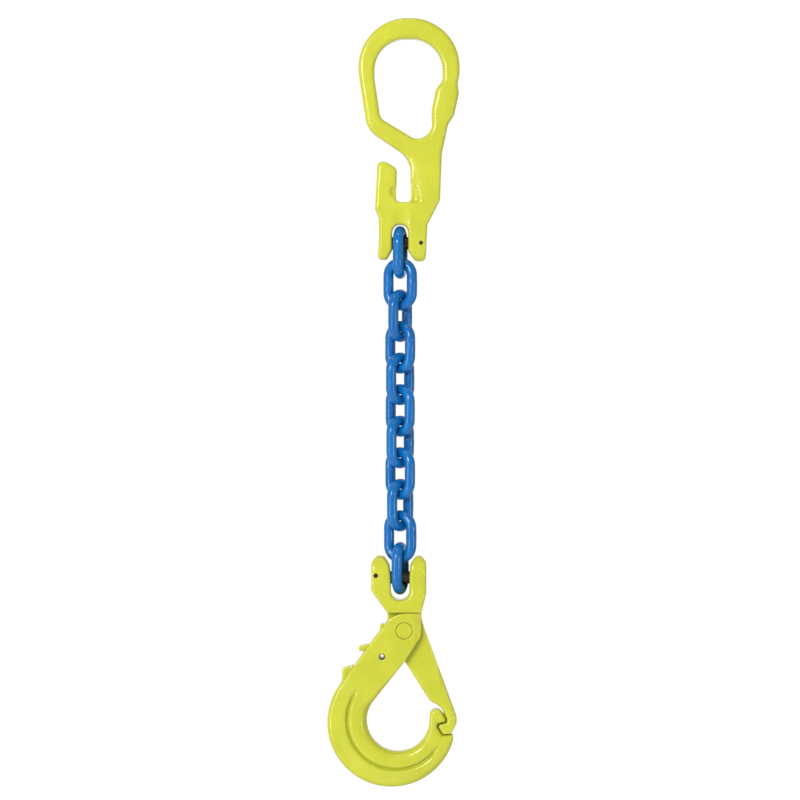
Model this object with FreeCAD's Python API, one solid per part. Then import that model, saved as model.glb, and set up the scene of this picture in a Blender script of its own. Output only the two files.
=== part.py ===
import FreeCAD, Part
import math
import os

# Single-leg lifting sling, hanging straight down from its master grab.
# Millimetres. +Z is up, X runs across the hooks, Y is their thickness.
# The origin is the seat of the crane hook, at the inner crown of the master grab.

# Chain
WIRE_D = 8.0
LINK_INNER_L = 24.65
LINK_INNER_W = 11.2
CONTACT_GAP = 0.45
CHAIN_X = -6.4
# Turn of each link's plane about the vertical, first link at the top, degrees.
LINK_TURNS = (80, -21, 57, -38, 44, -41, 46, -39, 50, -28, 74)

# Load pins and the small pins that hold them
LOAD_PIN_R = 4.8
UPPER_RETAINING_PIN_R = 1.5
LOWER_RETAINING_PIN_R = 1.75
RETAINER_INSET = 0.6
PIN_CHAMFER = 0.8
FIT = 0.05

# Half length of a cutter that goes right through any piece
THROUGH = 20.0

# Master grab
EYE_TOP_Z = 15.8
EYE_HALF_T = 7.5
GRAB_HALF_T = 9.5
UPPER_PIN_Z = -156.5
UPPER_PIN_ENDS = (-18.5, 12.2)
UPPER_RETAINER_X = 9.6
# Saddles for the arms of a shortened chain, either side of the grab slot
GRAB_SLOT_X = -4.1
SADDLE_R = 4.3
SADDLE_DEPTH = 2.4
SADDLE_TOP_Z = -111.0
SADDLE_FOOT_Z = -127.0

# Hook, measured from the centre of its pivot
PIVOT_X = -3.45
PIVOT_Z = -452.9
PIVOT_R = 6.2
CHEEK_R = 13.4
CHEEK_HALF_T = 11.5
TONGUE_HALF_T = 5.5
TONGUE_R = 12.4
SLOT_HALF_T = 5.8
HEAD_HALF_T = 12.0
EAR_HALF_T = 10.0
BOWL_HALF_T = 10.0
GUARD_HALF_T = 6.0
TIP_TAPER_L = 24.0
WEB_HALF_T = 3.0
WEB_CLEARANCE = 0.4
GROOVE_X = -6.0
GROOVE_Z = -68.6
GROOVE_R = 37.3
GROOVE_WIRE_R = 2.2
GROOVE_DEPTH = 1.0
GROOVE_START = 150.0
GROOVE_SWEEP = 173.0
# Direction from the pivot in which the latch arm leaves the tongue, degrees.
ARM_TURN = 212.6
LOWER_PIN_Z = -412.65
LATCH_END_HALF_T = 8.0
SHOULDER_Z = 13.8
LOWER_PIN_ENDS = (-24.4, 13.5)
LOWER_RETAINER = (-21.65, 42.0)
BOWL_X = -4.45
BOWL_Z = -68.7
BOWL_R = 24.0
BACK_X = -9.65
BACK_Z = -70.6
BACK_R = 49.1

# Trigger and its hollow pin, measured from the pivot
TRIGGER_X = -16.85
TRIGGER_Z = -19.8
TRIGGER_HALF_T = 5.4
TRIGGER_PIN_R = 2.4
TRIGGER_PIN_BORE_R = 1.75
SPRING_R = 3.6
SPRING_WIRE_R = 0.5
SPRING_TURNS = 4
SPRING_PITCH = 1.15
SPRING_LEG_L = 5.0
SPRING_TILT = 4.0

UP = FreeCAD.Vector(0, 0, 1)
ALONG_Y = FreeCAD.Vector(0, 1, 0)


def at(x, z, y=0.0):
    return FreeCAD.Vector(x, y, z)


def outline(*stops):
    """A closed wire in the XZ plane.

    A stop is (x, z), (x, z, corner radius), or (x, z, "via") for a point
    that the arc between its two neighbours passes through.
    """
    count = len(stops)
    entry = []
    leave = []
    for i, stop in enumerate(stops):
        point = at(stop[0], stop[1])
        radius = stop[2] if len(stop) > 2 else 0.0
        if radius == "via" or radius == 0.0:
            entry.append(point)
            leave.append(point)
            continue
        back = at(*stops[i - 1][:2]).sub(point).normalize()
        ahead = at(*stops[(i + 1) % count][:2]).sub(point).normalize()
        half = back.getAngle(ahead) / 2
        reach = radius / math.tan(half)
        entry.append(point + back * reach)
        leave.append(point + ahead * reach)
    edges = []
    for i, stop in enumerate(stops):
        after = (i + 1) % count
        if len(stop) > 2 and stop[2] == "via":
            arc = Part.Arc(leave[i - 1], entry[i], entry[after])
            edges.append(arc.toShape())
            continue
        if entry[i].distanceToPoint(leave[i]) > 1e-6:
            point = at(stop[0], stop[1])
            radius = stop[2]
            inward = (entry[i] + leave[i]) * 0.5 - point
            centre_far = math.hypot(radius, entry[i].distanceToPoint(point))
            middle = point + inward.normalize() * (centre_far - radius)
            edges.append(Part.Arc(entry[i], middle, leave[i]).toShape())
        after_is_via = len(stops[after]) > 2 and stops[after][2] == "via"
        if not after_is_via and leave[i].distanceToPoint(entry[after]) > 1e-6:
            edges.append(Part.LineSegment(leave[i], entry[after]).toShape())
    return Part.Wire(edges)


def plate(wire, half_thickness):
    """The outline as a plate, centred on Y = 0."""
    face = Part.Face(wire)
    solid = face.extrude(ALONG_Y * (2 * half_thickness))
    solid.translate(ALONG_Y * -half_thickness)
    return solid


def rod_y(x, z, radius, half_length):
    return Part.makeCylinder(radius, 2 * half_length, at(x, z, -half_length), ALONG_Y)


def rod_x(x_low, x_high, z, radius):
    return Part.makeCylinder(radius, x_high - x_low, at(x_low, z), FreeCAD.Vector(1, 0, 0))


def side_profile(half_widths, x_low, x_high):
    """A solid whose half width in Y follows (z, half width) pairs, along X."""
    front = [FreeCAD.Vector(x_low, -half, z) for z, half in half_widths]
    back = [FreeCAD.Vector(x_low, half, z) for z, half in reversed(half_widths)]
    face = Part.Face(Part.makePolygon(front + back + front[:1]))
    return face.extrude(FreeCAD.Vector(x_high - x_low, 0, 0))


def follows(wire):
    """A test for points (x, z) that lie on the wire."""
    return lambda x, z: wire.distToShape(Part.Vertex(x, 0, z))[0] < 1e-4


def soften(solid, half_thickness, radius, wanted):
    """Rounds the front and back edges of a plate whose middle passes wanted(x, z)."""
    found = []
    for edge in solid.Edges:
        middle = edge.valueAt((edge.FirstParameter + edge.LastParameter) / 2)
        flat = edge.BoundBox.YLength < 1e-4 and abs(abs(middle.y) - half_thickness) < 1e-4
        if flat and wanted(middle.x, middle.z):
            found.append(edge)
    return solid.makeFillet(radius, found)


def polar(radius, degrees, x=0.0, z=0.0):
    """The (x, z) point at a radius and angle about a centre, 90 degrees up."""
    turn = math.radians(degrees)
    return (x + radius * math.cos(turn), z + radius * math.sin(turn))


def tangent_point(x, z, centre_x, centre_z, radius):
    """Where a line from (x, z) touches a circle, keeping the circle on its left."""
    away = math.atan2(z - centre_z, x - centre_x)
    swing = math.acos(radius / math.hypot(x - centre_x, z - centre_z))
    return polar(radius, math.degrees(away + swing), centre_x, centre_z)


def from_pivot(solid):
    """Moves a hook piece drawn about the pivot to its place on the sling."""
    solid.translate(FreeCAD.Vector(PIVOT_X, 0, PIVOT_Z))
    return solid


# The master grab: pear-shaped eye, shortening slot for the chain, clevis below.
def make_master_grab():
    slot_and_clevis = (
        (25.5, -88.0, 15.0),
        (24.1, -123.5, 8.0),
        (14.4, -142.5, 6.0),
        (13.2, -170.4, 4.0),
        (5.2, -170.4, 4.0),
        (-0.3, -162.5, 4.0),
        (-0.3, -147.5, 5.0),
        (-3.2, -142.3, 3.0),
        (-9.6, -142.3, 3.0),
        (-12.5, -147.5, 5.0),
        (-12.5, -162.0, 4.0),
        (-16.6, -169.4, 3.4),
        (-24.1, -169.4, 3.6),
        (-22.7, -157.0, 6.0),
        (-22.7, -137.5, 6.0),
        (-25.7, -130.5, 6.0),
        (-23.7, -94.5, 3.6),
        (-18.0, -94.0, 5.0),
        (-8.9, -99.4, 5.0),
        (-9.7, -125.1, 3.0),
        (1.8, -125.1, 3.0),
        (1.4, -91.9, 20.0),
    )
    outer = outline(
        (-38.3, EYE_TOP_Z, 37.4),
        (39.1, EYE_TOP_Z, 37.4),
        (39.1, -27.0, 12.0),
        (37.6, -34.0, 10.0),
        (38.6, -42.0, 5.0),
        (34.9, -58.5, 6.0),
        (30.3, -65.5, 6.0),
        (24.4, -93.2, 6.0),
        (22.0, -110.0, 3.0),
        (3.0, -110.0, 3.0),
        (2.4, -92.6, 20.0),
        (-31.6, -69.8, 20.0),
        (-38.3, -26.5, 30.0),
    )
    eye = outline(
        (-26.1, 0.0, 24.0),
        (26.1, 0.0, 24.0),
        (26.1, -32.0, 5.0),
        (21.0, -38.5, 7.0),
        (17.6, -55.0, 9.0),
        (18.2, -76.4, 11.4),
        (4.0, -76.4, 8.0),
        (-21.6, -60.9, 8.0),
        (-26.1, -30.0, 30.0),
    )
    ring = plate(outer, EYE_HALF_T)
    ring = soften(ring, EYE_HALF_T, 3.2, follows(outer))
    ring = ring.cut(plate(eye, GRAB_HALF_T))
    ring = soften(ring, EYE_HALF_T, 4.5, follows(eye))
    # The lower half is thicker, and swells out of the neck, where the ring runs on inside it.
    lower = outline((26.0, -78.5), *slot_and_clevis, (-12.0, -81.6), (-8.0, -78.5))
    block = soften(plate(lower, GRAB_HALF_T), GRAB_HALF_T, 2.4, follows(lower))
    buried = EYE_HALF_T / 2
    swell = ((-76.0, buried), (-79.0, buried), (-112.0, GRAB_HALF_T), (-171.0, GRAB_HALF_T))
    block = block.common(side_profile(swell, -40.0, 40.0))
    grab = ring.fuse(block).removeSplitter()
    ends = ((16.0, GRAB_HALF_T), (-161.0, GRAB_HALF_T), (-166.5, 7.8), (-169.2, 5.6), (-170.5, 3.0))
    grab = grab.common(side_profile(ends, -40.0, 40.0))
    # Saddles beside the slot, where the arms of a crossing chain link lie.
    for face in (-1, 1):
        for arm in (-1, 1):
            y = face * (GRAB_HALF_T + SADDLE_R - SADDLE_DEPTH)
            x = GRAB_SLOT_X + arm * (LINK_INNER_W + WIRE_D) / 2
            groove = Part.makeCylinder(SADDLE_R, SADDLE_TOP_Z - SADDLE_FOOT_Z, at(x, SADDLE_FOOT_Z, y), UP)
            crown = Part.makeSphere(SADDLE_R, at(x, SADDLE_TOP_Z, y))
            foot = Part.makeSphere(SADDLE_R, at(x, SADDLE_FOOT_Z, y))
            grab = grab.cut(groove.fuse(crown).fuse(foot))
    grab = grab.cut(rod_x(UPPER_PIN_ENDS[0] - FIT, 30.0, UPPER_PIN_Z, LOAD_PIN_R + FIT))
    grab = grab.cut(rod_y(UPPER_RETAINER_X, UPPER_PIN_Z, UPPER_RETAINING_PIN_R + FIT, THROUGH))
    return grab


def make_load_pin(ends, z, retainer_x, retainer_z, retainer_r):
    """A clevis pin along X, chamfered, cross-drilled for its retaining pin."""
    pin = rod_x(ends[0], ends[1], z, LOAD_PIN_R)
    pin = pin.makeChamfer(PIN_CHAMFER, pin.Edges)
    return pin.cut(rod_y(retainer_x, retainer_z, retainer_r + FIT, THROUGH))


def make_retaining_pin(x, z, radius, half_length):
    pin = rod_y(x, z, radius, half_length)
    return pin.makeChamfer(0.3, pin.Edges)


# One short-link chain link: two straight arms joined by half-round ends.
def make_link(centre_z, turn):
    mean_r = (LINK_INNER_W + WIRE_D) / 2
    end_z = (LINK_INNER_L - LINK_INNER_W) / 2
    link = None
    for side in (-1, 1):
        arm = Part.makeCylinder(WIRE_D / 2, 2 * end_z, at(side * mean_r, -end_z), UP)
        round_end = Part.Face(Part.Wire(Part.makeCircle(WIRE_D / 2, at(mean_r, side * end_z), UP)))
        round_end = round_end.revolve(at(0, side * end_z), ALONG_Y, -180 * side)
        for piece in (arm, round_end):
            link = piece if link is None else link.fuse(piece)
    link = link.removeSplitter()
    link.rotate(at(0, 0), UP, turn)
    link.translate(at(CHAIN_X, centre_z))
    return link


# The hook head: clevis ears for the chain, shoulder, tongue and latch arm.
def make_hook_head():
    ears = outline(
        (-25.1, 30.2, 4.0),
        (-12.9, SHOULDER_Z, 2.6),
        (13.3, SHOULDER_Z, 2.6),
        (17.05, 28.5, 5.0),
        (17.05, 52.0, 3.0),
        (13.4, 57.0, 2.6),
        (9.4, 57.0, 2.6),
        (4.8, 50.6, 5.0),
        (4.15, 42.0, 20.0),
        (4.15, 30.45),
        (-2.95, 23.35, "via"),
        (-10.05, 30.45),
        (-10.05, 42.0, 20.0),
        (-11.1, 50.6, 5.0),
        (-15.4, 57.0, 2.6),
        (-20.8, 57.0, 2.6),
        (-25.1, 52.0, 3.0),
    )
    head = soften(plate(ears, EAR_HALF_T), EAR_HALF_T, 2.4, follows(ears))
    stout = soften(plate(ears, HEAD_HALF_T), HEAD_HALF_T, 2.4, follows(ears))
    swell = ((12.0, HEAD_HALF_T), (23.0, HEAD_HALF_T), (33.5, EAR_HALF_T), (35.0, EAR_HALF_T))
    head = head.fuse(stout.common(side_profile(swell, -30.0, 30.0))).removeSplitter()
    ends = (
        (13.0, HEAD_HALF_T),
        (40.0, HEAD_HALF_T),
        (47.5, EAR_HALF_T),
        (53.0, 8.3),
        (55.8, 6.2),
        (57.1, 3.5),
    )
    head = head.common(side_profile(ends, -30.0, 30.0))

    # Tongue and latch arm, thin between the cheeks of the hook body.
    nose = (
        (40.3, -66.0, 4.0),
        (40.2, -71.0, 3.0),
        (36.6, -77.9, 2.0),
        (34.9, -79.3, 1.5),
        (29.9, -79.4, 1.0),
        (26.4, -73.6, 0.6),
        (27.2, -72.2, 0.6),
        (32.7, -70.6, 0.6),
        (32.9, -67.8, 1.0),
        (30.2, -62.2, 2.0),
        (28.6, -59.4, 2.0),
        (25.2, -56.8, 2.0),
        (19.6, -53.7, 3.0),
    )
    meets_arm = polar(TONGUE_R, ARM_TURN)
    tongue = outline(
        (13.3, SHOULDER_Z + 3.0),
        (13.3, 9.0, 20.0),
        (16.1, 0.0, 20.0),
        *nose,
        meets_arm,
        (*polar(TONGUE_R, 185.0), "via"),
        polar(TONGUE_R, 156.0),
        (-12.8, 8.2, 0.5),
        (-12.8, SHOULDER_Z + 3.0),
    )
    blade = plate(tongue, TONGUE_HALF_T)
    arm_end = outline((25.0, -22.7), *nose, (2.6, -27.0))
    arm_end = soften(plate(arm_end, LATCH_END_HALF_T), LATCH_END_HALF_T, 1.4, follows(arm_end))
    taper = (
        (-20.0, TONGUE_HALF_T - 0.1),
        (-27.0, TONGUE_HALF_T - 0.1),
        (-42.0, LATCH_END_HALF_T),
        (-90.0, LATCH_END_HALF_T),
    )
    arm_end = arm_end.common(side_profile(taper, 0.0, 50.0))
    # A web at the latch end runs in the slot of the hook's tip, and keeps the two in line.
    web = outline(
        (30.2, -62.6),
        (29.6, -68.4),
        (24.0, -69.9),
        (23.8, -75.2),
        (28.3, -81.9),
        (35.5, -81.6),
        (36.5, -74.0),
        (36.5, -65.0),
    )
    head = head.fuse(blade).fuse(arm_end).fuse(plate(web, WEB_HALF_T))
    head = head.cut(rod_y(0.0, 0.0, PIVOT_R + FIT, THROUGH))
    pin_z = LOWER_PIN_Z - PIVOT_Z
    head = head.cut(rod_x(-40.0, LOWER_PIN_ENDS[1] + FIT, pin_z, LOAD_PIN_R + FIT))
    head = head.cut(rod_y(*LOWER_RETAINER, LOWER_RETAINING_PIN_R + FIT, THROUGH))
    return from_pivot(head)


# The hook body: two cheeks round the tongue, bowl, tip and thumb guard.
def make_hook_body():
    front_foot = (0.6, -23.4)
    whole = outline(
        (-11.6, 8.8),
        polar(CHEEK_R, 120.0),
        (*polar(CHEEK_R, 105.0), "via"),
        polar(CHEEK_R, 90.0),
        (13.0, CHEEK_R, 1.6),
        (13.0, -4.0, 9.0),
        front_foot,
        tangent_point(*front_foot, BOWL_X, BOWL_Z, BOWL_R),
        (BOWL_X, BOWL_Z - BOWL_R, "via"),
        (BOWL_X + BOWL_R, BOWL_Z),
        (19.6, -60.2, 4.6),
        (27.6, -60.2, 3.2),
        (31.8, -68.2),
        (31.6, -69.9),
        (25.6, -71.5),
        (25.3, -74.2),
        (29.5, -81.3),
        (37.9, -80.8),
        polar(BACK_R, -16.0, BACK_X, BACK_Z),
        (BACK_X, BACK_Z - BACK_R, "via"),
        polar(BACK_R, 138.0, BACK_X, BACK_Z),
    )

    def on_back(x, z):
        return abs(math.hypot(x - BACK_X, z - BACK_Z) - BACK_R) < 0.01

    def on_bowl(x, z):
        on_circle = abs(math.hypot(x - BOWL_X, z - BOWL_Z) - BOWL_R) < 0.01
        return on_circle or (x > -24.0 and -68.2 < z < -23.4)

    def on_cheeks(x, z):
        return z > -23.4

    body = plate(whole, BOWL_HALF_T)
    body = soften(body, BOWL_HALF_T, 4.5, on_back)
    body = soften(body, BOWL_HALF_T, 2.8, on_bowl)
    cheeks = plate(whole, CHEEK_HALF_T)
    cheeks = soften(cheeks, CHEEK_HALF_T, 1.2, on_cheeks)
    swell = ((15.0, CHEEK_HALF_T), (-34.0, CHEEK_HALF_T), (-60.0, BOWL_HALF_T - 1.2), (-61.0, 0.1))
    cheeks = cheeks.common(side_profile(swell, -60.0, 15.0))
    guard = outline(
        (-42.0, -46.0),
        (-49.6, -42.5, 2.0),
        (-47.5, -38.5, 3.0),
        (-47.4, -29.2, 1.0),
        (-38.0, -26.4, 1.0),
        (-34.0, -32.0),
    )
    body = body.fuse(cheeks).fuse(plate(guard, GUARD_HALF_T)).removeSplitter()

    # The slot between the cheeks takes the tongue, the latch arm and the trigger.
    arm_gap = TONGUE_R + 0.5
    arm_turn = math.radians(ARM_TURN + 90.0)
    edge_top = polar(arm_gap, ARM_TURN)
    run = (edge_top[1] + 11.5) / -math.sin(arm_turn)
    wedge_x = edge_top[0] + run * math.cos(arm_turn)
    slot = outline(
        (wedge_x, -11.5),
        (edge_top[0] + 40.0 * math.cos(arm_turn), edge_top[1] + 40.0 * math.sin(arm_turn)),
        (60.0, -45.0),
        (60.0, 60.0),
        (-60.0, 60.0),
        (-60.0, -12.0),
        (-36.8, -23.4),
        (-22.0, -28.5, 3.0),
        (-11.5, -26.0, 3.0),
        (-9.5, -20.0, 2.0),
        (-9.5, -11.5),
    )
    body = body.cut(plate(slot, SLOT_HALF_T))
    body = body.cut(rod_y(0.0, 0.0, PIVOT_R + FIT, THROUGH))
    body = body.cut(rod_y(TRIGGER_X, TRIGGER_Z, TRIGGER_PIN_R + FIT, THROUGH))

    # The slot in the tip, for the web of the latch arm.
    tip_slot = outline(
        (22.6, -64.5),
        (22.6, -76.5),
        (27.0, -83.2),
        (60.0, -83.2),
        (60.0, -58.5),
        (30.0, -58.5),
        (28.0, -64.5),
    )
    body = body.cut(plate(tip_slot, WEB_HALF_T + WEB_CLEARANCE))

    # A groove on each face parts the inner bead from the outer flange.
    for face in (-1, 1):
        start = polar(GROOVE_R, GROOVE_START, GROOVE_X, GROOVE_Z)
        y = face * (BOWL_HALF_T + GROOVE_WIRE_R - GROOVE_DEPTH)
        wire = Part.Wire(Part.makeCircle(GROOVE_WIRE_R, at(*start, y), at(*polar(1.0, GROOVE_START - 90.0))))
        ring = Part.Face(wire).revolve(at(GROOVE_X, GROOVE_Z), ALONG_Y, -GROOVE_SWEEP)
        body = body.cut(ring)

    # Towards the tip the bar thins to the width of the latch.
    outward = at(*polar(60.0, -45.0))
    onward = at(*polar(1.0, 45.0))
    centre = at(BOWL_X, BOWL_Z)
    for face in (-1, 1):
        thin = ALONG_Y * (face * LATCH_END_HALF_T)
        full = ALONG_Y * (face * BOWL_HALF_T)
        clear = ALONG_Y * (face * (BOWL_HALF_T + 3.0))
        corners = (full, onward * TIP_TAPER_L + thin, onward * 60.0 + thin, onward * 60.0 + clear, clear)
        points = [centre + corner for corner in corners]
        body = body.cut(Part.Face(Part.makePolygon(points + points[:1])).extrude(outward))
    return from_pivot(body)


def make_pivot_pin():
    """A flush pin across both cheeks, its rims slightly broken."""
    pin = rod_y(0.0, 0.0, PIVOT_R, CHEEK_HALF_T)
    return from_pivot(pin.makeChamfer(0.4, pin.Edges))


# The trigger: nose under the tongue's step, forked boss on its pin, thumb tab.
def make_trigger():
    lever = outline(
        (-18.3, 4.9, 1.2),
        (-13.7, 5.3, 0.8),
        (-13.6, -5.0, 4.0),
        (-11.3, -17.0, 4.0),
        (-11.6, -24.6, 4.5),
        (-22.6, -25.4, 4.5),
        (-27.6, -19.0, 3.0),
        (-29.3, -15.9, 1.0),
        (-34.9, -15.8, 1.2),
        (-34.6, -12.2, 1.2),
        (-26.4, -10.3, 1.0),
        (-20.1, -2.1, 1.0),
        (-18.8, -1.3, 0.8),
    )
    trigger = plate(lever, TRIGGER_HALF_T)
    fork = SPRING_TURNS * SPRING_PITCH / 2 + SPRING_WIRE_R + 0.4
    trigger = trigger.cut(rod_y(TRIGGER_X, TRIGGER_Z, SPRING_R + SPRING_WIRE_R + 0.6, fork))
    # The spring's upper leg bears on the front wall of its slot; the lower leg hangs free of the lever.
    leg_x = TRIGGER_X + SPRING_R
    slack = 1.6 + SPRING_WIRE_R
    front = SPRING_WIRE_R + SPRING_LEG_L * math.sin(math.radians(SPRING_TILT)) + FIT
    upper = Part.makeBox(slack + front, 2 * fork, SPRING_LEG_L + 1.0, at(leg_x - slack, TRIGGER_Z, -fork))
    lower = Part.makeBox(slack + 8.0, 2 * fork, 8.0, at(leg_x - slack, TRIGGER_Z - 8.0, -fork))
    trigger = trigger.cut(upper).cut(lower)
    trigger = trigger.cut(rod_y(TRIGGER_X, TRIGGER_Z, TRIGGER_PIN_R + FIT, THROUGH))
    return from_pivot(trigger)


def make_trigger_pin():
    """A rolled tube with a lengthwise split, driven through both cheeks."""
    length = CHEEK_HALF_T - 0.3
    tube = rod_y(TRIGGER_X, TRIGGER_Z, TRIGGER_PIN_R, length)
    tube = tube.cut(rod_y(TRIGGER_X, TRIGGER_Z, TRIGGER_PIN_BORE_R, THROUGH))
    split = Part.makeBox(0.5, 2 * THROUGH, 4.0, at(TRIGGER_X - 0.25, TRIGGER_Z, -THROUGH))
    return from_pivot(tube.cut(split))


def make_trigger_spring():
    """A torsion spring round the trigger pin, one leg on the web, one on the lever."""
    height = SPRING_TURNS * SPRING_PITCH
    helix = Part.makeLongHelix(SPRING_PITCH, height, SPRING_R)
    wire_end = Part.Wire(Part.makeCircle(SPRING_WIRE_R, at(SPRING_R, 0.0), ALONG_Y))
    coil = Part.Wire(helix).makePipeShell([wire_end], True, True)
    coil.rotate(at(0, 0), FreeCAD.Vector(1, 0, 0), -90)
    coil.translate(at(0, 0, -height / 2))
    low_leg = Part.makeCylinder(SPRING_WIRE_R, SPRING_LEG_L, at(SPRING_R, 0, -height / 2), UP)
    high_leg = Part.makeCylinder(SPRING_WIRE_R, SPRING_LEG_L, at(SPRING_R, 0, height / 2), UP * -1)
    spring = coil.fuse(low_leg).fuse(high_leg)
    spring.rotate(at(0, 0), ALONG_Y, SPRING_TILT)
    spring.translate(at(TRIGGER_X, TRIGGER_Z))
    return from_pivot(spring)


def make_parts():
    parts = {}
    parts["master_grab"] = make_master_grab()
    upper_retainer = (UPPER_RETAINER_X, UPPER_PIN_Z, UPPER_RETAINING_PIN_R)
    parts["upper_load_pin"] = make_load_pin(UPPER_PIN_ENDS, UPPER_PIN_Z, *upper_retainer)
    parts["upper_retaining_pin"] = make_retaining_pin(*upper_retainer, GRAB_HALF_T - RETAINER_INSET)
    first_z = UPPER_PIN_Z + LOAD_PIN_R + CONTACT_GAP - LINK_INNER_L / 2
    spacing = LINK_INNER_L - CONTACT_GAP
    for i, turn in enumerate(LINK_TURNS):
        parts[f"chain_link_{i + 1:02d}"] = make_link(first_z - i * spacing, turn)
    parts["hook_head"] = make_hook_head()
    ends = (LOWER_PIN_ENDS[0] + PIVOT_X, LOWER_PIN_ENDS[1] + PIVOT_X)
    lower_retainer = (LOWER_RETAINER[0] + PIVOT_X, LOWER_RETAINER[1] + PIVOT_Z, LOWER_RETAINING_PIN_R)
    parts["lower_load_pin"] = make_load_pin(ends, LOWER_PIN_Z, *lower_retainer)
    parts["lower_retaining_pin"] = make_retaining_pin(*lower_retainer, EAR_HALF_T - RETAINER_INSET)
    parts["hook_body"] = make_hook_body()
    parts["pivot_pin"] = make_pivot_pin()
    parts["trigger"] = make_trigger()
    parts["trigger_pin"] = make_trigger_pin()
    parts["trigger_spring"] = make_trigger_spring()
    return parts


os.makedirs("parts", exist_ok=True)
for name, solid in make_parts().items():
    solid.exportStep(f"parts/{name}.step")
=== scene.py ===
import math

import bpy
import numpy as np
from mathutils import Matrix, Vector


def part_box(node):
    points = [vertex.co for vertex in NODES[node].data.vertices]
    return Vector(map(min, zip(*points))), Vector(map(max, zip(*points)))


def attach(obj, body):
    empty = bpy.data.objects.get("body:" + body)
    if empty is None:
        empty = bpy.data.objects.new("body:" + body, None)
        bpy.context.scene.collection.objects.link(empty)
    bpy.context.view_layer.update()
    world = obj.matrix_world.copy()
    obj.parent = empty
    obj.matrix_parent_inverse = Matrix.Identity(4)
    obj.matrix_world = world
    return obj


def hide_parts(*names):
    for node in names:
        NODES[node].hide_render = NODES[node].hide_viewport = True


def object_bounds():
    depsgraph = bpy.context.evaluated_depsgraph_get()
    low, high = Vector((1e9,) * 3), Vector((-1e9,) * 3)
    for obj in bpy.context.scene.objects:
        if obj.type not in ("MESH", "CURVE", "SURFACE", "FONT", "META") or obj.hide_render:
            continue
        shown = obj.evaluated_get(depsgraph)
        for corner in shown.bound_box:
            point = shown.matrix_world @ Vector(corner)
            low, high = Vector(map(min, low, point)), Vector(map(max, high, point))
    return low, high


# The looks of a single-leg chain sling: forged grab and hook in gloss yellow-green coat,
# blue short-link chain, dark load pins. Shapes are in millimetres until they become meshes.

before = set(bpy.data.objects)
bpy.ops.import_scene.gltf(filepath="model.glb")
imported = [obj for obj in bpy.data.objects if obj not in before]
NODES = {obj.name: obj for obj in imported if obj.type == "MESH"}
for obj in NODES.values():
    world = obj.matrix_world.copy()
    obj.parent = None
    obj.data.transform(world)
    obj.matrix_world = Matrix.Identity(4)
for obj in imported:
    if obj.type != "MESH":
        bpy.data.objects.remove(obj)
CAD_LOW, CAD_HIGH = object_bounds()
MM = 0.001

LINK_TURNS = (80, -21, 57, -38, 44, -41, 46, -39, 50, -28, 74)
WIRE_R = 4.0
LINK_MEAN_R = 9.6
LINK_END_Z = 6.725
PIVOT = (-3.45, -452.9)
BOWL = (-4.45, -68.7)
BOWL_R = 24.0
BACK = (-9.65, -70.6)
BACK_R = 49.1
GROOVE = (-6.0, -68.6)
GROOVE_R = 37.6
TONGUE_R = 12.4
ARM_TURN = 212.6
TRIGGER = (-16.85, -19.8)
SLOT_HALF_T = 5.8
WEB_HALF_T = 3.0
WEB_CLEARANCE = 0.4

# Bores for the pins
LOAD_PIN_BORE_R = 4.85
UPPER_RETAINER_BORE_R = 1.55
LOWER_RETAINER_BORE_R = 1.8
PIVOT_BORE_R = 6.25
# A little wider than the bore, so that a dark line rings the pivot pin.
PIVOT_RING_R = 6.5
TRIGGER_BORE_R = 2.45

# Sampling, in cells: room round a shape, a shift that keeps flat faces off the layers of
# sample points, and how deep a filled point is set.
GRID_MARGIN = 3
GRID_SHIFT = 0.35
FILL_DEPTH = 0.02
FILL_PASSES = 12

# Camera and floor, in metres; the offset centres the object as seen.
CAMERA_DISTANCE = 2.4
CAMERA_OFFSET = (0.0050, 0.0018)
FRAME_FILL = 0.959
SENSOR_WIDTH = 36.0
FLOOR_R = 1.1
FLOOR_DROP = 0.25


# ---------------------------------------------------------------- outlines

def polar(radius, degrees, x=0.0, z=0.0):
    turn = math.radians(degrees)
    return (x + radius * math.cos(turn), z + radius * math.sin(turn))


def tangent_point(x, z, centre_x, centre_z, radius):
    """Where a line from (x, z) touches a circle, keeping the circle on its left."""
    away = math.atan2(z - centre_z, x - centre_x)
    swing = math.acos(radius / math.hypot(x - centre_x, z - centre_z))
    return polar(radius, math.degrees(away + swing), centre_x, centre_z)


def arc_points(first, middle, last):
    """Points from first up to, but not including, last on the arc through middle."""
    a, b, c = (complex(*p) for p in (first, middle, last))
    w = (c - a) / (b - a)
    centre = (b - a) * (w - abs(w) ** 2) / (2j * w.imag) + a
    radius = abs(a - centre)
    start = math.atan2((a - centre).imag, (a - centre).real)
    turns = []
    for p in (b, c):
        angle = math.atan2((p - centre).imag, (p - centre).real) - start
        turns.append(angle)
    sweep = turns[1] % (2 * math.pi)
    if turns[0] % (2 * math.pi) > sweep:
        sweep -= 2 * math.pi
    count = max(3, int(abs(sweep) * radius / 0.7))
    steps = np.arange(count) / count
    return [(centre.real + radius * math.cos(start + sweep * t),
             centre.imag + radius * math.sin(start + sweep * t)) for t in steps]


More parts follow.
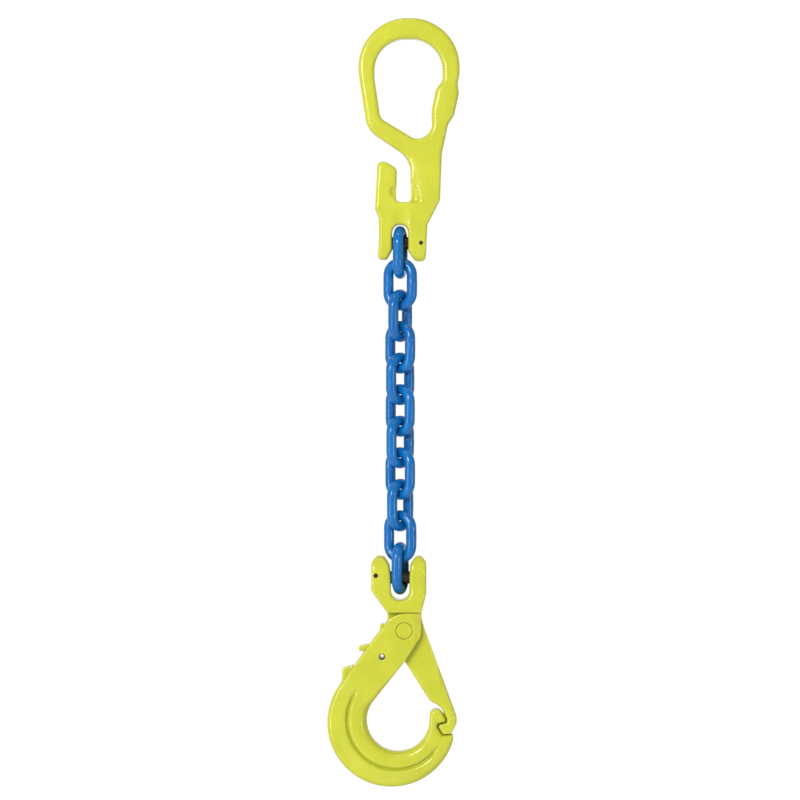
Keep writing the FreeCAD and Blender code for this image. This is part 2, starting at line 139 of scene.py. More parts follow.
def outline(*stops):
    """A closed loop of points; a stop is (x, z), (x, z, corner radius) or (x, z, "via")."""
    count = len(stops)
    entry, leave = [], []
    for i, stop in enumerate(stops):
        point = np.array(stop[:2], float)
        radius = stop[2] if len(stop) > 2 else 0.0
        if radius == "via" or radius == 0.0:
            entry.append(point)
            leave.append(point)
            continue
        back = np.array(stops[i - 1][:2]) - point
        ahead = np.array(stops[(i + 1) % count][:2]) - point
        back = back / np.linalg.norm(back)
        ahead = ahead / np.linalg.norm(ahead)
        half = math.acos(max(-1.0, min(1.0, float(back @ ahead)))) / 2
        reach = radius / math.tan(half)
        entry.append(point + back * reach)
        leave.append(point + ahead * reach)
    loop = []
    for i, stop in enumerate(stops):
        after = (i + 1) % count
        if len(stop) > 2 and stop[2] == "via":
            loop += arc_points(leave[i - 1], entry[i], entry[after])[1:]
            continue
        if np.linalg.norm(entry[i] - leave[i]) > 1e-6:
            point = np.array(stop[:2], float)
            inward = (entry[i] + leave[i]) / 2 - point
            far = math.hypot(stop[2], np.linalg.norm(entry[i] - point))
            middle = point + inward / np.linalg.norm(inward) * (far - stop[2])
            loop += arc_points(entry[i], middle, leave[i])
        loop.append(tuple(leave[i]))
    return np.array(loop)


# ---------------------------------------------------------------- distance fields

def ramp(value, low, high):
    """0 at low, 1 at high, smooth between; low may be above high."""
    t = np.clip((value - low) / (high - low), 0.0, 1.0)
    return t * t * (3 - 2 * t)


def distance_to(loop, x, z):
    """Signed distance to a closed loop in the XZ plane, negative inside."""
    best = np.full(x.shape, 1e9)
    inside = np.zeros(x.shape, bool)
    for (ax, az), (bx, bz) in zip(loop, np.roll(loop, -1, axis=0)):
        ex, ez = bx - ax, bz - az
        length = ex * ex + ez * ez
        if length < 1e-12:
            continue
        t = np.clip(((x - ax) * ex + (z - az) * ez) / length, 0, 1)
        best = np.minimum(best, (x - ax - t * ex) ** 2 + (z - az - t * ez) ** 2)
        if az != bz:
            inside ^= ((az > z) != (bz > z)) & (x < ex * (z - az) / ez + ax)
    return np.where(inside, -1.0, 1.0) * np.sqrt(best)


class Grid:
    """A box of sample points; x, y and z broadcast against each other."""

    def __init__(self, low, high, cell):
        self.low = np.array(low, float) - (GRID_MARGIN + GRID_SHIFT) * cell
        self.cell = cell
        self.count = np.ceil((np.array(high) + GRID_MARGIN * cell - self.low) / cell).astype(int) + 1
        axes = [self.low[i] + cell * np.arange(self.count[i]) for i in range(3)]
        self.x = axes[0][:, None, None]
        self.y = axes[1][None, :, None]
        self.z = axes[2][None, None, :]
        self.flat_x = np.broadcast_to(axes[0][:, None], (self.count[0], self.count[2]))
        self.flat_z = np.broadcast_to(axes[2][None, :], (self.count[0], self.count[2]))

    def loop(self, loop):
        return distance_to(loop, self.flat_x, self.flat_z)[:, None, :]

    def rod_y(self, x, z, radius):
        return np.hypot(self.x - x, self.z - z) - radius

    def rod_x(self, z, radius, low, high):
        round_part = np.hypot(self.y, self.z - z) - radius
        ends = np.maximum(low - self.x, self.x - high)
        return np.maximum(round_part, ends)

    def slab(self, distance, half, radius):
        """The flat shape as a plate of that half thickness, its rims rounded."""
        a = distance + radius
        b = np.abs(self.y) - half + radius
        return np.minimum(np.maximum(a, b), 0) + np.hypot(np.maximum(a, 0), np.maximum(b, 0)) - radius


def join(a, b, soft):
    """Union with a small fillet in the corner between the two."""
    h = np.maximum(soft - np.abs(a - b), 0.0)
    return np.minimum(a, b) - h * h / (4 * soft)


def cut(a, b, soft):
    """a with b taken away, the rim slightly broken."""
    h = np.maximum(soft - np.abs(a + b), 0.0)
    return np.maximum(a, -b) + h * h / (4 * soft)


def sample(field, grid, points):
    """The field between its grid points."""
    where = (points - grid.low) / grid.cell
    base = np.clip(np.floor(where).astype(int), 0, np.array(field.shape) - 2)
    part = where - base
    total = np.zeros(len(points))
    for dx in (0, 1):
        for dy in (0, 1):
            for dz in (0, 1):
                weight = (np.abs(1 - dx - part[:, 0]) * np.abs(1 - dy - part[:, 1])
                          * np.abs(1 - dz - part[:, 2]))
                total += weight * field[base[:, 0] + dx, base[:, 1] + dy, base[:, 2] + dz]
    return total


def slope(field, grid, points, reach):
    step = np.eye(3) * reach
    return np.stack([sample(field, grid, points + s) - sample(field, grid, points - s)
                     for s in step], axis=1) / (2 * reach)


def untangle(field, cell):
    """Fills the sample points where the surface would touch itself along an edge.

    Four neighbours in a square that are in, out, in, out by turns make such a place. The outer
    one nearest the surface is put just inside, so each pass leaves fewer points outside.
    """
    for _ in range(FILL_PASSES):
        filled = False
        for one, two in ((0, 1), (0, 2), (1, 2)):
            square = []
            for s, t in ((0, 0), (0, 1), (1, 1), (1, 0)):
                part = [slice(None)] * 3
                part[one] = slice(s, field.shape[one] - 1 + s)
                part[two] = slice(t, field.shape[two] - 1 + t)
                square.append((s, t, field[tuple(part)] < 0))
            a, b, c, d = (inside for _, _, inside in square)
            for place in np.argwhere((a == c) & (b == d) & (a != b)):
                outside = []
                for s, t, _ in square:
                    point = list(place)
                    point[one] += s
                    point[two] += t
                    if field[tuple(point)] >= 0:
                        outside.append(tuple(point))
                if len(outside) == 2:
                    field[min(outside, key=lambda point: field[point])] = -FILL_DEPTH * cell
                    filled = True
        if not filled:
            return


def skin(field, grid):
    """A quad mesh on the field's zero surface: one vertex to each cell that it crosses."""
    untangle(field, grid.cell)
    inside = field < 0
    if inside[[0, -1]].any() or inside[:, [0, -1]].any() or inside[:, :, [0, -1]].any():
        raise ValueError("the shape reaches the side of its grid, so its skin would be open")
    corners = [(dx, dy, dz) for dx in (0, 1) for dy in (0, 1) for dz in (0, 1)]
    shape = np.array(field.shape) - 1

    def cells(array, offset):
        return array[offset[0]:offset[0] + shape[0], offset[1]:offset[1] + shape[1],
                     offset[2]:offset[2] + shape[2]]

    some = np.zeros(tuple(shape), bool)
    every = np.ones(tuple(shape), bool)
    for c in corners:
        some |= cells(inside, c)
        every &= cells(inside, c)
    active = some & ~every
    number = np.full(tuple(shape), -1, np.int64)
    index = np.argwhere(active)
    number[active] = np.arange(len(index))
    values = {c: field[index[:, 0] + c[0], index[:, 1] + c[1], index[:, 2] + c[2]] for c in corners}
    total = np.zeros((len(index), 3))
    hits = np.zeros(len(index))
    for a in corners:
        for axis in range(3):
            if a[axis]:
                continue
            b = tuple(1 if i == axis else a[i] for i in range(3))
            crossing = (values[a] < 0) != (values[b] < 0)
            span = np.where(crossing, values[a] - values[b], 1.0)
            t = np.where(crossing, values[a] / span, 0.0)
            point = np.tile(np.array(a, float), (len(index), 1))
            point[:, axis] += t
            total += point * crossing[:, None]
            hits += crossing
    points = grid.low + (index + total / hits[:, None]) * grid.cell
    quads = []
    for axis in range(3):
        one, two = (axis + 1) % 3, (axis + 2) % 3
        ahead = [0, 0, 0]
        ahead[axis] = 1
        near = inside[:field.shape[0] - ahead[0], :field.shape[1] - ahead[1], :field.shape[2] - ahead[2]]
        far = inside[ahead[0]:, ahead[1]:, ahead[2]:]
        edge = np.argwhere(near != far)
        leaves = near[edge[:, 0], edge[:, 1], edge[:, 2]]
        around = []
        for s, t in ((1, 1), (0, 1), (0, 0), (1, 0)):
            cell = edge.copy()
            cell[:, one] -= s
            cell[:, two] -= t
            around.append(number[cell[:, 0], cell[:, 1], cell[:, 2]])
        quad = np.stack(around, axis=1)
        quad[~leaves] = quad[~leaves][:, ::-1]
        quads.append(quad)
    return points, np.concatenate(quads)


def forging(name, field, grid, offset, body, node, material):
    """Turns a field into a finished piece that rides on its body in place of its CAD node."""
    points, quads = skin(field, grid)
    for _ in range(3):
        normal = slope(field, grid, points, grid.cell * 0.5)
        size = np.maximum((normal ** 2).sum(axis=1), 0.2)
        move = (sample(field, grid, points) / size)[:, None] * normal
        points = points - np.clip(move, -0.3 * grid.cell, 0.3 * grid.cell)
    normal = slope(field, grid, points, grid.cell * 0.8)
    normal /= np.maximum(np.linalg.norm(normal, axis=1), 1e-6)[:, None]
    # How sharply the surface turns: positive on outer edges, negative in corners; the coat uses it to paint
    # highlights on edges and shade in corners.
    reach = 1.4
    bend = -6 * sample(field, grid, points)
    for s in np.eye(3) * reach:
        bend += sample(field, grid, points + s) + sample(field, grid, points - s)
    bend /= reach * reach
    mesh = bpy.data.meshes.new(name)
    place = np.array([offset[0], 0.0, offset[1]])
    mesh.from_pydata(((points + place) * MM).tolist(), [], quads.tolist())
    mesh.update()
    mesh.shade_smooth()
    attribute = mesh.attributes.new("bend", "FLOAT", "POINT")
    attribute.data.foreach_set("value", np.clip(bend, -2, 2).astype(np.float32))
    mesh.normals_split_custom_set_from_vertices(normal.tolist())
    piece = bpy.data.objects.new(name, mesh)
    bpy.context.scene.collection.objects.link(piece)
    mesh.materials.append(material)
    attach(piece, body)
    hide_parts(node)
    return piece


# ---------------------------------------------------------------- the forgings

def grab_field(grid):
    x, y, z = grid.x, grid.y, grid.z
    whole = grid.loop(outline(
        (-38.3, 15.8, 37.4), (39.1, 15.8, 37.4), (39.1, -27.0, 12.0), (37.6, -34.0, 10.0),
        (38.6, -42.0, 5.0), (34.9, -58.5, 6.0), (30.3, -65.5, 6.0), (25.5, -88.0, 15.0),
        (24.1, -123.5, 8.0), (14.4, -142.5, 6.0), (13.2, -170.4, 4.0), (5.2, -170.4, 4.0),
        (-0.3, -162.5, 4.0), (-0.3, -148.4), (-6.4, -142.3, "via"), (-12.5, -148.4), (-12.5, -162.0, 4.0),
        (-16.6, -169.4, 3.4), (-24.1, -169.4, 3.6),
        (-22.7, -157.0, 6.0), (-22.7, -137.5, 6.0), (-25.7, -130.5, 6.0), (-23.7, -94.5, 3.6),
        (-18.0, -94.0, 5.0), (-8.9, -99.4, 5.0), (-9.7, -125.1, 3.0), (1.8, -125.1, 3.0),
        (1.4, -91.9, 20.0), (-31.6, -69.8, 20.0), (-38.3, -26.5, 30.0)))
    eye = grid.loop(outline(
        (-26.1, 0.0, 24.0), (26.1, 0.0, 24.0), (26.1, -32.0, 5.0), (21.0, -38.5, 7.0),
        (17.6, -55.0, 9.0), (18.2, -76.4, 11.4), (4.0, -76.4, 8.0), (-21.6, -60.9, 8.0),
        (-26.1, -30.0, 30.0)))
    block = ramp(z, -78.0, -114.0)
    half = 7.5 + 2.0 * block
    # The knuckle on the right arm is a little fuller.
    half = half + 0.9 * np.exp(-((x - 29.5) / 9.0) ** 2 - ((z + 45.0) / 13.0) ** 2)
    # Right of the slot the face falls away gently, under a curved crest.
    land = grid.loop(outline(
        (-3.0, -82.5), (3.6, -88.7, 6.0), (8.7, -96.4, 6.0), (12.4, -110.0, 8.0), (10.6, -127.0, 4.0),
        (0.0, -127.0)))
    half = half - 0.7 * ramp(-land, -0.2, 9.0) * ramp(z, -128.5, -121.0)
    # A shallow channel leads from the slot to the clevis crown.
    channel = ramp(7.6 - np.abs(x + 6.0), 0.0, 6.5) * ramp(z, -122.0, -142.0)
    half = half - 1.3 * channel
    ends = np.clip(np.maximum(-160.0 - z, 0) / 11.8, 0, 0.98)
    half = half * np.sqrt(1 - ends ** 2)
    body = grid.slab(np.maximum(whole, -eye), half, 3.3 - 0.9 * block)
    # Saddles: a round notch on the left of the slot, and a longer hollow that curves in on the right.
    for side in (-1, 1):
        notch = np.sqrt((x + 9.9) ** 2 + (y - side * 13.4) ** 2 + (z + 117.3) ** 2) - 6.4
        along = np.clip(z, -122.5, -110.0)
        lean = 4.6 - 4.5 * ((along + 122.5) / 12.5) ** 2
        hollow = np.sqrt((x - lean) ** 2 + (y - side * 12.0) ** 2 + (z - along) ** 2) - 5.0
        body = cut(cut(body, notch, 0.7), hollow, 0.7)
    body = cut(body, grid.rod_x(-156.5, LOAD_PIN_BORE_R, -18.55, 40.0), 0.5)
    return cut(body, grid.rod_y(9.6, -156.5, UPPER_RETAINER_BORE_R), 0.35)


def head_field(grid):
    z = grid.z
    ears = grid.loop(outline(
        (-25.1, 30.2, 4.0), (-12.9, 13.8, 1.6), (13.3, 13.8, 1.6), (17.05, 28.5, 5.0), (17.05, 52.0, 3.0),
        (13.4, 57.0, 2.6), (9.4, 57.0, 2.6), (4.8, 50.6, 5.0), (4.15, 42.0, 20.0), (4.15, 30.45),
        (-2.95, 23.35, "via"), (-10.05, 30.45), (-10.05, 42.0, 20.0), (-11.1, 50.6, 5.0),
        (-15.4, 57.0, 2.6), (-20.8, 57.0, 2.6), (-25.1, 52.0, 3.0)))
    nose = (
        (40.3, -66.0, 4.0), (40.2, -71.0, 3.0), (36.6, -77.9, 2.0), (34.9, -79.3, 1.5), (29.9, -79.4, 1.0),
        (26.4, -73.6, 0.6), (27.2, -72.2, 0.6), (32.7, -70.6, 0.6), (32.9, -67.8, 1.0), (30.2, -62.2, 2.0),
        (28.6, -59.4, 2.0), (25.2, -56.8, 2.0), (19.6, -53.7, 3.0))
    tongue = grid.loop(outline(
        (13.3, 18.0), (13.3, 9.0, 20.0), (16.1, 0.0, 20.0), *nose, polar(TONGUE_R, ARM_TURN),
        (*polar(TONGUE_R, 185.0), "via"), polar(TONGUE_R, 156.0), (-12.8, 8.2, 0.5), (-12.8, 18.0)))
    half = 12.0 - 2.0 * ramp(z, 21.0, 35.0)
    ends = np.clip(np.maximum(z - 43.0, 0) / 15.6, 0, 0.98)
    block = grid.slab(ears, half * np.sqrt(1 - ends ** 2), 2.6 - 1.4 * ramp(z, 20.0, 14.0))
    arm = ramp(z, -27.0, -43.0)
    # Clear of the cheeks the arm is thicker and its rims rounder, less so again at the nose.
    rim = 0.6 + 2.2 * ramp(z, -24.0, -36.0) - 1.4 * ramp(z, -66.0, -76.0)
    blade = grid.slab(tongue, 5.45 + 2.5 * arm, rim)
    # The web at the latch end, which runs in the slot of the tip.
    web = grid.loop(outline(
        (30.2, -62.6), (29.6, -68.4), (24.0, -69.9), (23.8, -75.2), (28.3, -81.9), (35.5, -81.6),
        (36.5, -74.0), (36.5, -65.0)))
    head = join(block, blade, 0.8)
    head = join(head, grid.slab(web, WEB_HALF_T, 0.5), 0.5)
    head = cut(head, grid.rod_y(0.0, 0.0, PIVOT_BORE_R), 0.4)
    head = cut(head, grid.rod_x(40.25, LOAD_PIN_BORE_R, -60.0, 13.55), 0.5)
    return cut(head, grid.rod_y(-21.65, 42.0, LOWER_RETAINER_BORE_R), 0.35)


def hook_field(grid):
    x, z = grid.x, grid.z
    foot = (0.6, -23.4)
    whole = grid.loop(outline(
        (-11.6, 8.8), polar(13.4, 120.0), (*polar(13.4, 105.0), "via"), polar(13.4, 90.0), (13.0, 13.4, 1.6),
        (13.0, -4.0, 9.0), foot,
        tangent_point(*foot, *BOWL, BOWL_R), (BOWL[0], BOWL[1] - BOWL_R, "via"), (BOWL[0] + BOWL_R, BOWL[1]),
        (19.6, -60.2, 4.6), (27.6, -60.2, 3.2), (31.8, -68.2, 0.8), (31.6, -69.9, 0.6), (25.6, -71.5, 0.6),
        (25.3, -74.2, 1.0), (29.2, -80.3, 0.8), (37.7, -79.8, 1.0), polar(BACK_R, -16.0, *BACK),
        (BACK[0], BACK[1] - BACK_R, "via"), polar(BACK_R, 138.0, *BACK)))
    # Inner bead and outer flange, parted by a groove that fades out at both ends.
    rho = np.hypot(x - GROOVE[0], z - GROOVE[1])
    angle = np.degrees(np.arctan2(z - GROOVE[1], x - GROOVE[0])) % 360
    along = ramp(angle, 138.0, 160.0) * ramp(angle, 334.0, 312.0)
    bowl = ramp(z, -30.0, -58.0)
    onward = (x - BOWL[0]) * math.cos(math.radians(45)) + (z - BOWL[1]) * math.sin(math.radians(45))
    tip = ramp(onward, 0.0, 24.0) * ramp(x, 6.0, 16.0)
    half = 11.5 - 1.5 * bowl - 2.0 * tip
    flange = ramp(rho, GROOVE_R - 2.6, GROOVE_R + 0.2)
    half = half - along * (0.6 * flange + 2.2 * np.exp(-((rho - GROOVE_R) / 1.4) ** 2))
    half = half - along * 1.1 * ramp(rho, GROOVE_R + 2.0, GROOVE_R + 11.0)
    # The bead is rounded across, with its crest nearer the groove.
    half = half - along * 2.4 * np.clip((31.8 - rho) / 7.6, 0.0, 1.1) ** 2
    radius = 1.2 + 3.0 * ramp(z, -24.0, -50.0) - 1.2 * tip
    body = grid.slab(whole, half, radius)
    guard = grid.loop(outline(
        (-42.0, -48.0), (-49.6, -42.5, 2.0), (-47.5, -38.5, 3.0), (-47.4, -29.2, 1.0), (-38.0, -26.4, 1.0),
        (-32.0, -32.0), (-34.0, -46.0)))
    body = join(body, grid.slab(guard, 6.0, 1.2), 1.2)
    # The slot between the cheeks.
    gap = TONGUE_R + 0.5
    turn = math.radians(ARM_TURN + 90.0)
    top = polar(gap, ARM_TURN)
    run = (top[1] + 11.5) / -math.sin(turn)
    slot = grid.loop(outline(
        (top[0] + run * math.cos(turn), -11.5),
        (top[0] + 40.0 * math.cos(turn), top[1] + 40.0 * math.sin(turn)),
        (60.0, -45.0), (60.0, 60.0), (-60.0, 60.0), (-60.0, -12.0), (-36.8, -23.4), (-22.0, -28.5, 3.0),
        (-11.5, -26.0, 3.0), (-9.5, -20.0, 2.0), (-9.5, -11.5)))
    body = cut(body, np.maximum(slot, np.abs(grid.y) - SLOT_HALF_T), 0.5)
    # The slot in the tip, for the web of the latch arm.
    tip_slot = grid.loop(outline(
        (22.6, -64.5), (22.6, -76.5), (27.0, -83.2), (60.0, -83.2), (60.0, -58.5),
        (30.0, -58.5), (28.0, -64.5)))
    body = cut(body, np.maximum(tip_slot, np.abs(grid.y) - WEB_HALF_T - WEB_CLEARANCE), 0.4)
    body = cut(body, grid.rod_y(0.0, 0.0, PIVOT_RING_R), 0.35)
    return cut(body, grid.rod_y(*TRIGGER, TRIGGER_BORE_R), 0.4)


def trigger_field(grid):
    lever = grid.loop(outline(
        (-18.3, 4.9, 1.2), (-13.7, 5.3, 0.8), (-13.6, -5.0, 4.0), (-11.3, -17.0, 4.0), (-11.6, -24.6, 4.5),
        (-22.6, -25.4, 4.5), (-27.6, -19.0, 3.0), (-29.3, -15.9, 1.0), (-34.9, -15.8, 1.2),
        (-34.6, -12.2, 1.2), (-26.4, -10.3, 1.0), (-20.1, -2.1, 1.0), (-18.8, -1.3, 0.8)))
    body = grid.slab(lever, 5.4, 1.0)
    fork = np.abs(grid.y) - 3.2
    body = cut(body, np.maximum(grid.rod_y(*TRIGGER, 4.7), fork), 0.3)
    left = TRIGGER[0] + 1.5
    upper = np.maximum(np.maximum(left - grid.x, grid.x - TRIGGER[0] - 4.5), np.abs(grid.z + 16.8) - 3.0)
    lower = np.maximum(left - grid.x, np.maximum(grid.z + 19.8, -27.8 - grid.z))
    body = cut(body, np.maximum(np.minimum(upper, lower), fork), 0.3)
    return cut(body, grid.rod_y(*TRIGGER, TRIGGER_BORE_R), 0.3)


# ---------------------------------------------------------------- the chain

def chain_link(number, turn, material):
    """Round wire along a stadium, with the low bead of its weld on one arm."""
    node = f"chain_link_{number:02d}"
    low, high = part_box(node)
    centre = (low + high) / 2
    arm = 2 * LINK_END_Z
    bend = math.pi * LINK_MEAN_R
    total = 2 * (arm + bend)
    stations, rim = 176, 40
    rows = []
    for i in range(stations):
        s = total * i / stations
        if s < arm:
            point, ahead = (LINK_MEAN_R, s - LINK_END_Z), (0.0, 1.0)
        elif s < arm + bend:
            a = (s - arm) / LINK_MEAN_R
            point = (LINK_MEAN_R * math.cos(a), LINK_END_Z + LINK_MEAN_R * math.sin(a))
            ahead = (-math.sin(a), math.cos(a))
        elif s < 2 * arm + bend:
            point, ahead = (-LINK_MEAN_R, LINK_END_Z - (s - arm - bend)), (0.0, -1.0)
        else:
            a = math.pi + (s - 2 * arm - bend) / LINK_MEAN_R
            point = (LINK_MEAN_R * math.cos(a), -LINK_END_Z + LINK_MEAN_R * math.sin(a))
            ahead = (-math.sin(a), math.cos(a))
        out = (ahead[1], -ahead[0])
        weld = s - arm / 2
        radius = WIRE_R + 0.16 * math.exp(-(weld / 2.3) ** 2) - 0.09 * math.exp(-(weld / 0.45) ** 2)
        for k in range(rim):
            b = 2 * math.pi * k / rim
            x = point[0] + out[0] * radius * math.cos(b)
            z = point[1] + out[1] * radius * math.cos(b)
            rows.append((x, radius * math.sin(b), z))
    points = np.array(rows)
    c, s = math.cos(math.radians(turn)), math.sin(math.radians(turn))
    turned = np.stack([points[:, 0] * c - points[:, 1] * s, points[:, 0] * s + points[:, 1] * c,
                       points[:, 2]], axis=1) * MM + np.array(centre)
    faces = []
    for i in range(stations):
        for k in range(rim):
            a = i * rim + k
            b = i * rim + (k + 1) % rim
            c2 = ((i + 1) % stations) * rim + (k + 1) % rim
            d = ((i + 1) % stations) * rim + k
            faces.append((a, b, c2, d))
    mesh = bpy.data.meshes.new(f"link_{number:02d}_wire")
    mesh.from_pydata(turned.tolist(), [], faces)
    mesh.update()
    mesh.shade_smooth()
    mesh.materials.append(material)
    piece = bpy.data.objects.new(f"link_{number:02d}_wire", mesh)
    bpy.context.scene.collection.objects.link(piece)
    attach(piece, f"link_{number:02d}")
    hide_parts(node)
    return piece


# ---------------------------------------------------------------- materials

class Shader:
    """A node material with a Principled shader and short helpers."""

    def __init__(self, name, **sockets):
        self.material = bpy.data.materials.new(name)
        self.material.use_nodes = True
        self.tree = self.material.node_tree
        self.shader = self.tree.nodes["Principled BSDF"]
        for socket, value in sockets.items():
            self.shader.inputs[socket.replace("_", " ")].default_value = value
        self.coords = self.node("ShaderNodeTexCoord").outputs["Object"]

    def node(self, kind, **inputs):
        made = self.tree.nodes.new(kind)
        for key, value in inputs.items():
            socket = made.inputs[key.replace("_", " ")]
            if isinstance(value, bpy.types.NodeSocket):
                self.tree.links.new(value, socket)
            else:
                socket.default_value = value
        return made

    def noise(self, scale, detail=3.0, roughness=0.5):
        made = self.node("ShaderNodeTexNoise", Vector=self.coords, Scale=scale, Detail=detail,
                         Roughness=roughness)
        return made.outputs["Fac"]

    def spread(self, value, low, high, out_low=0.0, out_high=1.0):
        made = self.node("ShaderNodeMapRange", Value=value, From_Min=low, From_Max=high, To_Min=out_low,
                         To_Max=out_high)
        return made.outputs["Result"]

    def blend(self, factor, a, b):
        made = self.tree.nodes.new("ShaderNodeMix")
        made.data_type = "RGBA"
        for socket, value in (("Factor_Float", factor), ("A_Color", a), ("B_Color", b)):
            target = next(i for i in made.inputs if i.identifier == socket)
            if isinstance(value, bpy.types.NodeSocket):
                self.tree.links.new(value, target)
            else:
                target.default_value = value
        return next(o for o in made.outputs if o.identifier == "Result_Color")

    def bump(self, height, strength, distance, under=None):
        made = self.node("ShaderNodeBump", Height=height, Strength=strength, Distance=distance)
        if under is not None:
            self.tree.links.new(under, made.inputs["Normal"])
        return made.outputs["Normal"]

    def feed(self, socket, value):
        self.tree.links.new(value, self.shader.inputs[socket])


def enamel(name, tone, deep, pale, bend=True):
    """Gloss powder coat: faint cloudiness and orange peel, with painted highlights on outer edges and
    painted shade in corners.
    """
    s = Shader(name, Specular_IOR_Level=0.42)
    cloud = s.spread(s.noise(38.0, 4.0), 0.3, 0.7, 0.0, 0.5)
    colour = s.blend(cloud, tone, deep)
    speck = s.spread(s.noise(900.0, 2.0), 0.60, 0.74, 0.0, 0.35)
    colour = s.blend(speck, colour, pale)
    # With bend on, the curvature attribute paints highlights on outer edges and shade in corners.
    if bend:
        turn = s.node("ShaderNodeAttribute")
        turn.attribute_name = "bend"
        # Painted highlight: outer edges lightened toward the pale tone, broken into noisy patches.
        patchy = s.spread(s.noise(160.0, 4.0), 0.35, 0.65, 0.15, 0.6)
        edge = s.spread(turn.outputs["Fac"], 0.25, 1.1)
        edge = s.node("ShaderNodeMath", Value=edge)
        edge.operation = "MULTIPLY"
        s.tree.links.new(patchy, edge.inputs[1])
        colour = s.blend(edge.outputs[0], colour, pale)
        # Painted shade: corners darkened toward the deep tone.
        corner_shade = s.spread(turn.outputs["Fac"], -0.10, -0.85)
        colour = s.blend(corner_shade, colour, deep)
    s.feed("Base Color", colour)
    s.feed("Roughness", s.spread(s.noise(75.0, 4.0), 0.3, 0.7, 0.13, 0.22))
    fine = s.bump(s.noise(520.0, 2.0), 0.10, 0.0004)
    s.feed("Normal", s.bump(s.noise(110.0, 2.0), 0.10, 0.0015, fine))
    return s.material


def steel(name, dark, light, rough):
    """Turned steel with an oily, slightly blotched surface and fine lay marks."""
    s = Shader(name, Metallic=0.85, Specular_IOR_Level=0.5)
    blotch = s.spread(s.noise(170.0, 5.0), 0.35, 0.68)
    s.feed("Base Color", s.blend(blotch, dark, light))
    s.feed("Roughness", s.spread(s.noise(300.0, 3.0), 0.3, 0.7, rough - 0.08, rough + 0.12))
    s.feed("Normal", s.bump(s.noise(1400.0, 2.0), 0.18, 0.0002))
    return s.material


COATS = ((0.545, 0.556, 0.040, 1), (0.380, 0.418, 0.022, 1), (0.620, 0.628, 0.090, 1))
GREEN = enamel("green_coat", *COATS)
GREEN_PIN = enamel("green_coat_pin", *COATS, bend=False)
BLUE = enamel("blue_coat", (0.001, 0.142, 0.430, 1), (0.000, 0.075, 0.270, 1), (0.003, 0.190, 0.530, 1),
              bend=False)
DARK = steel("dark_pin_steel", (0.020, 0.017, 0.015, 1), (0.070, 0.062, 0.054, 1), 0.42)
TUBE = steel("tube_steel", (0.110, 0.085, 0.045, 1), (0.200, 0.160, 0.090, 1), 0.35)
SPRING = steel("spring_steel", (0.30, 0.30, 0.31, 1), (0.46, 0.46, 0.47, 1), 0.30)


# ---------------------------------------------------------------- pieces

def build(name, shape, low, high, cell, offset, body, node):
    grid = Grid(low, high, cell)
    return forging(name, shape(grid), grid, offset, body, node, GREEN)


build("grab_forging", grab_field, (-38.5, -9.9, -170.6), (39.3, 9.9, 16.0), 0.6, (0.0, 0.0),
      "grab", "master_grab")
build("head_forging", head_field, (-25.3, -12.1, -82.1), (40.5, 12.1, 57.2), 0.5, PIVOT,
      "head", "hook_head")
build("hook_forging", hook_field, (-58.9, -11.6, -119.9), (39.6, 11.6, 13.6), 0.56, PIVOT,
      "hook", "hook_body")
build("trigger_lever", trigger_field, (-35.2, -5.5, -25.8), (-11.0, 5.5, 5.6), 0.36, PIVOT,
      "trigger", "trigger")
for index, turn in enumerate(LINK_TURNS):
    chain_link(index + 1, turn, BLUE)

for names, material in (
        (("upper_load_pin", "lower_load_pin", "upper_retaining_pin", "lower_retaining_pin"), DARK),
        (("pivot_pin",), GREEN_PIN),
        (("trigger_pin",), TUBE),
        (("trigger_spring",), SPRING)):
    for name in names:
        data = NODES[name].data
        data.materials.clear()
        data.materials.append(material)


# ---------------------------------------------------------------- studio

def area_light(name, place, aim, size_x, size_y, power):
    data = bpy.data.lights.new(name, "AREA")
    data.shape = "RECTANGLE"
    data.size = size_x
    data.size_y = size_y
    data.energy = power
    lamp = bpy.data.objects.new(name, data)
    bpy.context.scene.collection.objects.link(lamp)
    lamp.location = place
    lamp.rotation_euler = (Vector(aim) - Vector(place)).to_track_quat("-Z", "Y").to_euler()


scene = bpy.context.scene
centre = (CAD_LOW + CAD_HIGH) / 2
height = CAD_HIGH.z - CAD_LOW.z

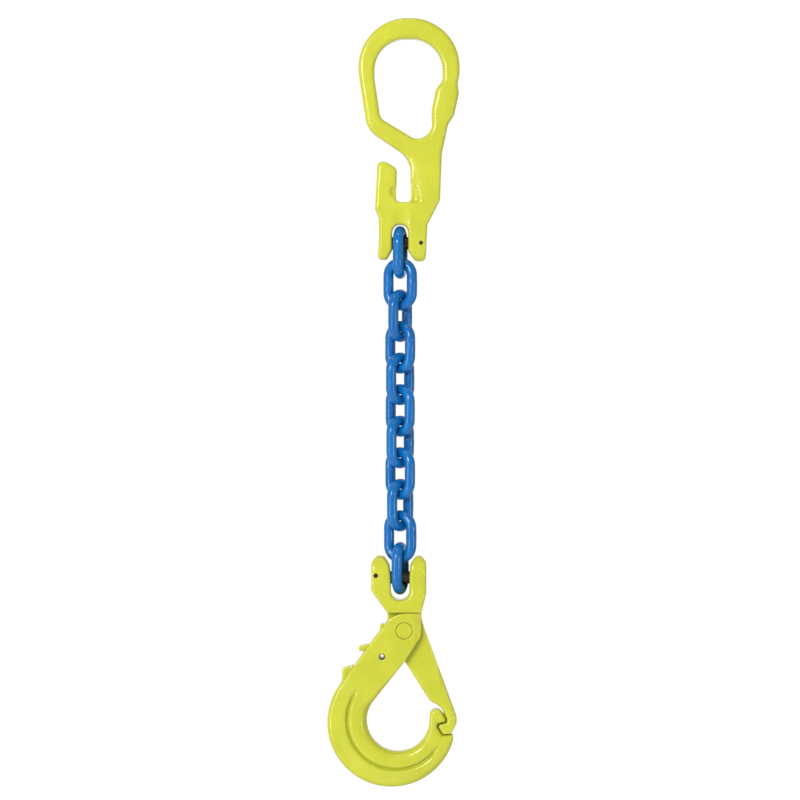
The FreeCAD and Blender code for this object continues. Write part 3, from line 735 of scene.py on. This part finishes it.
world = bpy.data.worlds.new("studio")
world.use_nodes = True
# White behind the object, and a dimmer room on the side of the lights.
sky = world.node_tree.nodes
heading = sky.new("ShaderNodeSeparateXYZ")
world.node_tree.links.new(sky.new("ShaderNodeTexCoord").outputs["Generated"], heading.inputs["Vector"])
glow = sky.new("ShaderNodeMapRange")
for socket, value in (("From Min", 0.35), ("From Max", 0.93), ("To Min", 0.46), ("To Max", 1.02)):
    glow.inputs[socket].default_value = value
world.node_tree.links.new(heading.outputs["Y"], glow.inputs["Value"])
world.node_tree.links.new(glow.outputs["Result"], sky["Background"].inputs["Strength"])
sky["Background"].inputs["Color"].default_value = (1, 1, 1, 1)
scene.world = world
scene.view_settings.view_transform = "Standard"

floor_mesh = bpy.data.meshes.new("floor")
ring = [polar(FLOOR_R, 7.5 * i) for i in range(48)]
floor_mesh.from_pydata([(x, y, CAD_LOW.z - FLOOR_DROP) for x, y in ring], [], [list(range(48))])
floor = bpy.data.objects.new("floor", floor_mesh)
scene.collection.objects.link(floor)
pale = Shader("pale_floor", Roughness=0.7)
pale.feed("Base Color", pale.blend(pale.noise(4.0), (0.86, 0.86, 0.85, 1), (0.90, 0.90, 0.89, 1)))
floor_mesh.materials.append(pale.material)

area_light("key", (-0.66, -1.50, 0.22), centre, 0.42, 0.42, 16.8)
area_light("strip_left", (-1.15, -0.95, -0.50), centre, 0.035, 0.7, 6.0)
area_light("strip_right", (1.20, -0.95, -0.45), centre, 0.035, 0.6, 4.0)
area_light("top", (-0.1, -0.45, 0.85), centre, 0.35, 0.12, 1.6)

camera_data = bpy.data.cameras.new("camera")
camera = bpy.data.objects.new("camera", camera_data)
scene.collection.objects.link(camera)
camera_data.sensor_width = SENSOR_WIDTH
camera_data.lens = SENSOR_WIDTH * CAMERA_DISTANCE / (height / FRAME_FILL)
camera_data.clip_end = 20.0
camera.location = (centre.x + CAMERA_OFFSET[0], -CAMERA_DISTANCE, centre.z + CAMERA_OFFSET[1])
camera.rotation_euler = (math.radians(90), 0, 0)
scene.camera = camera
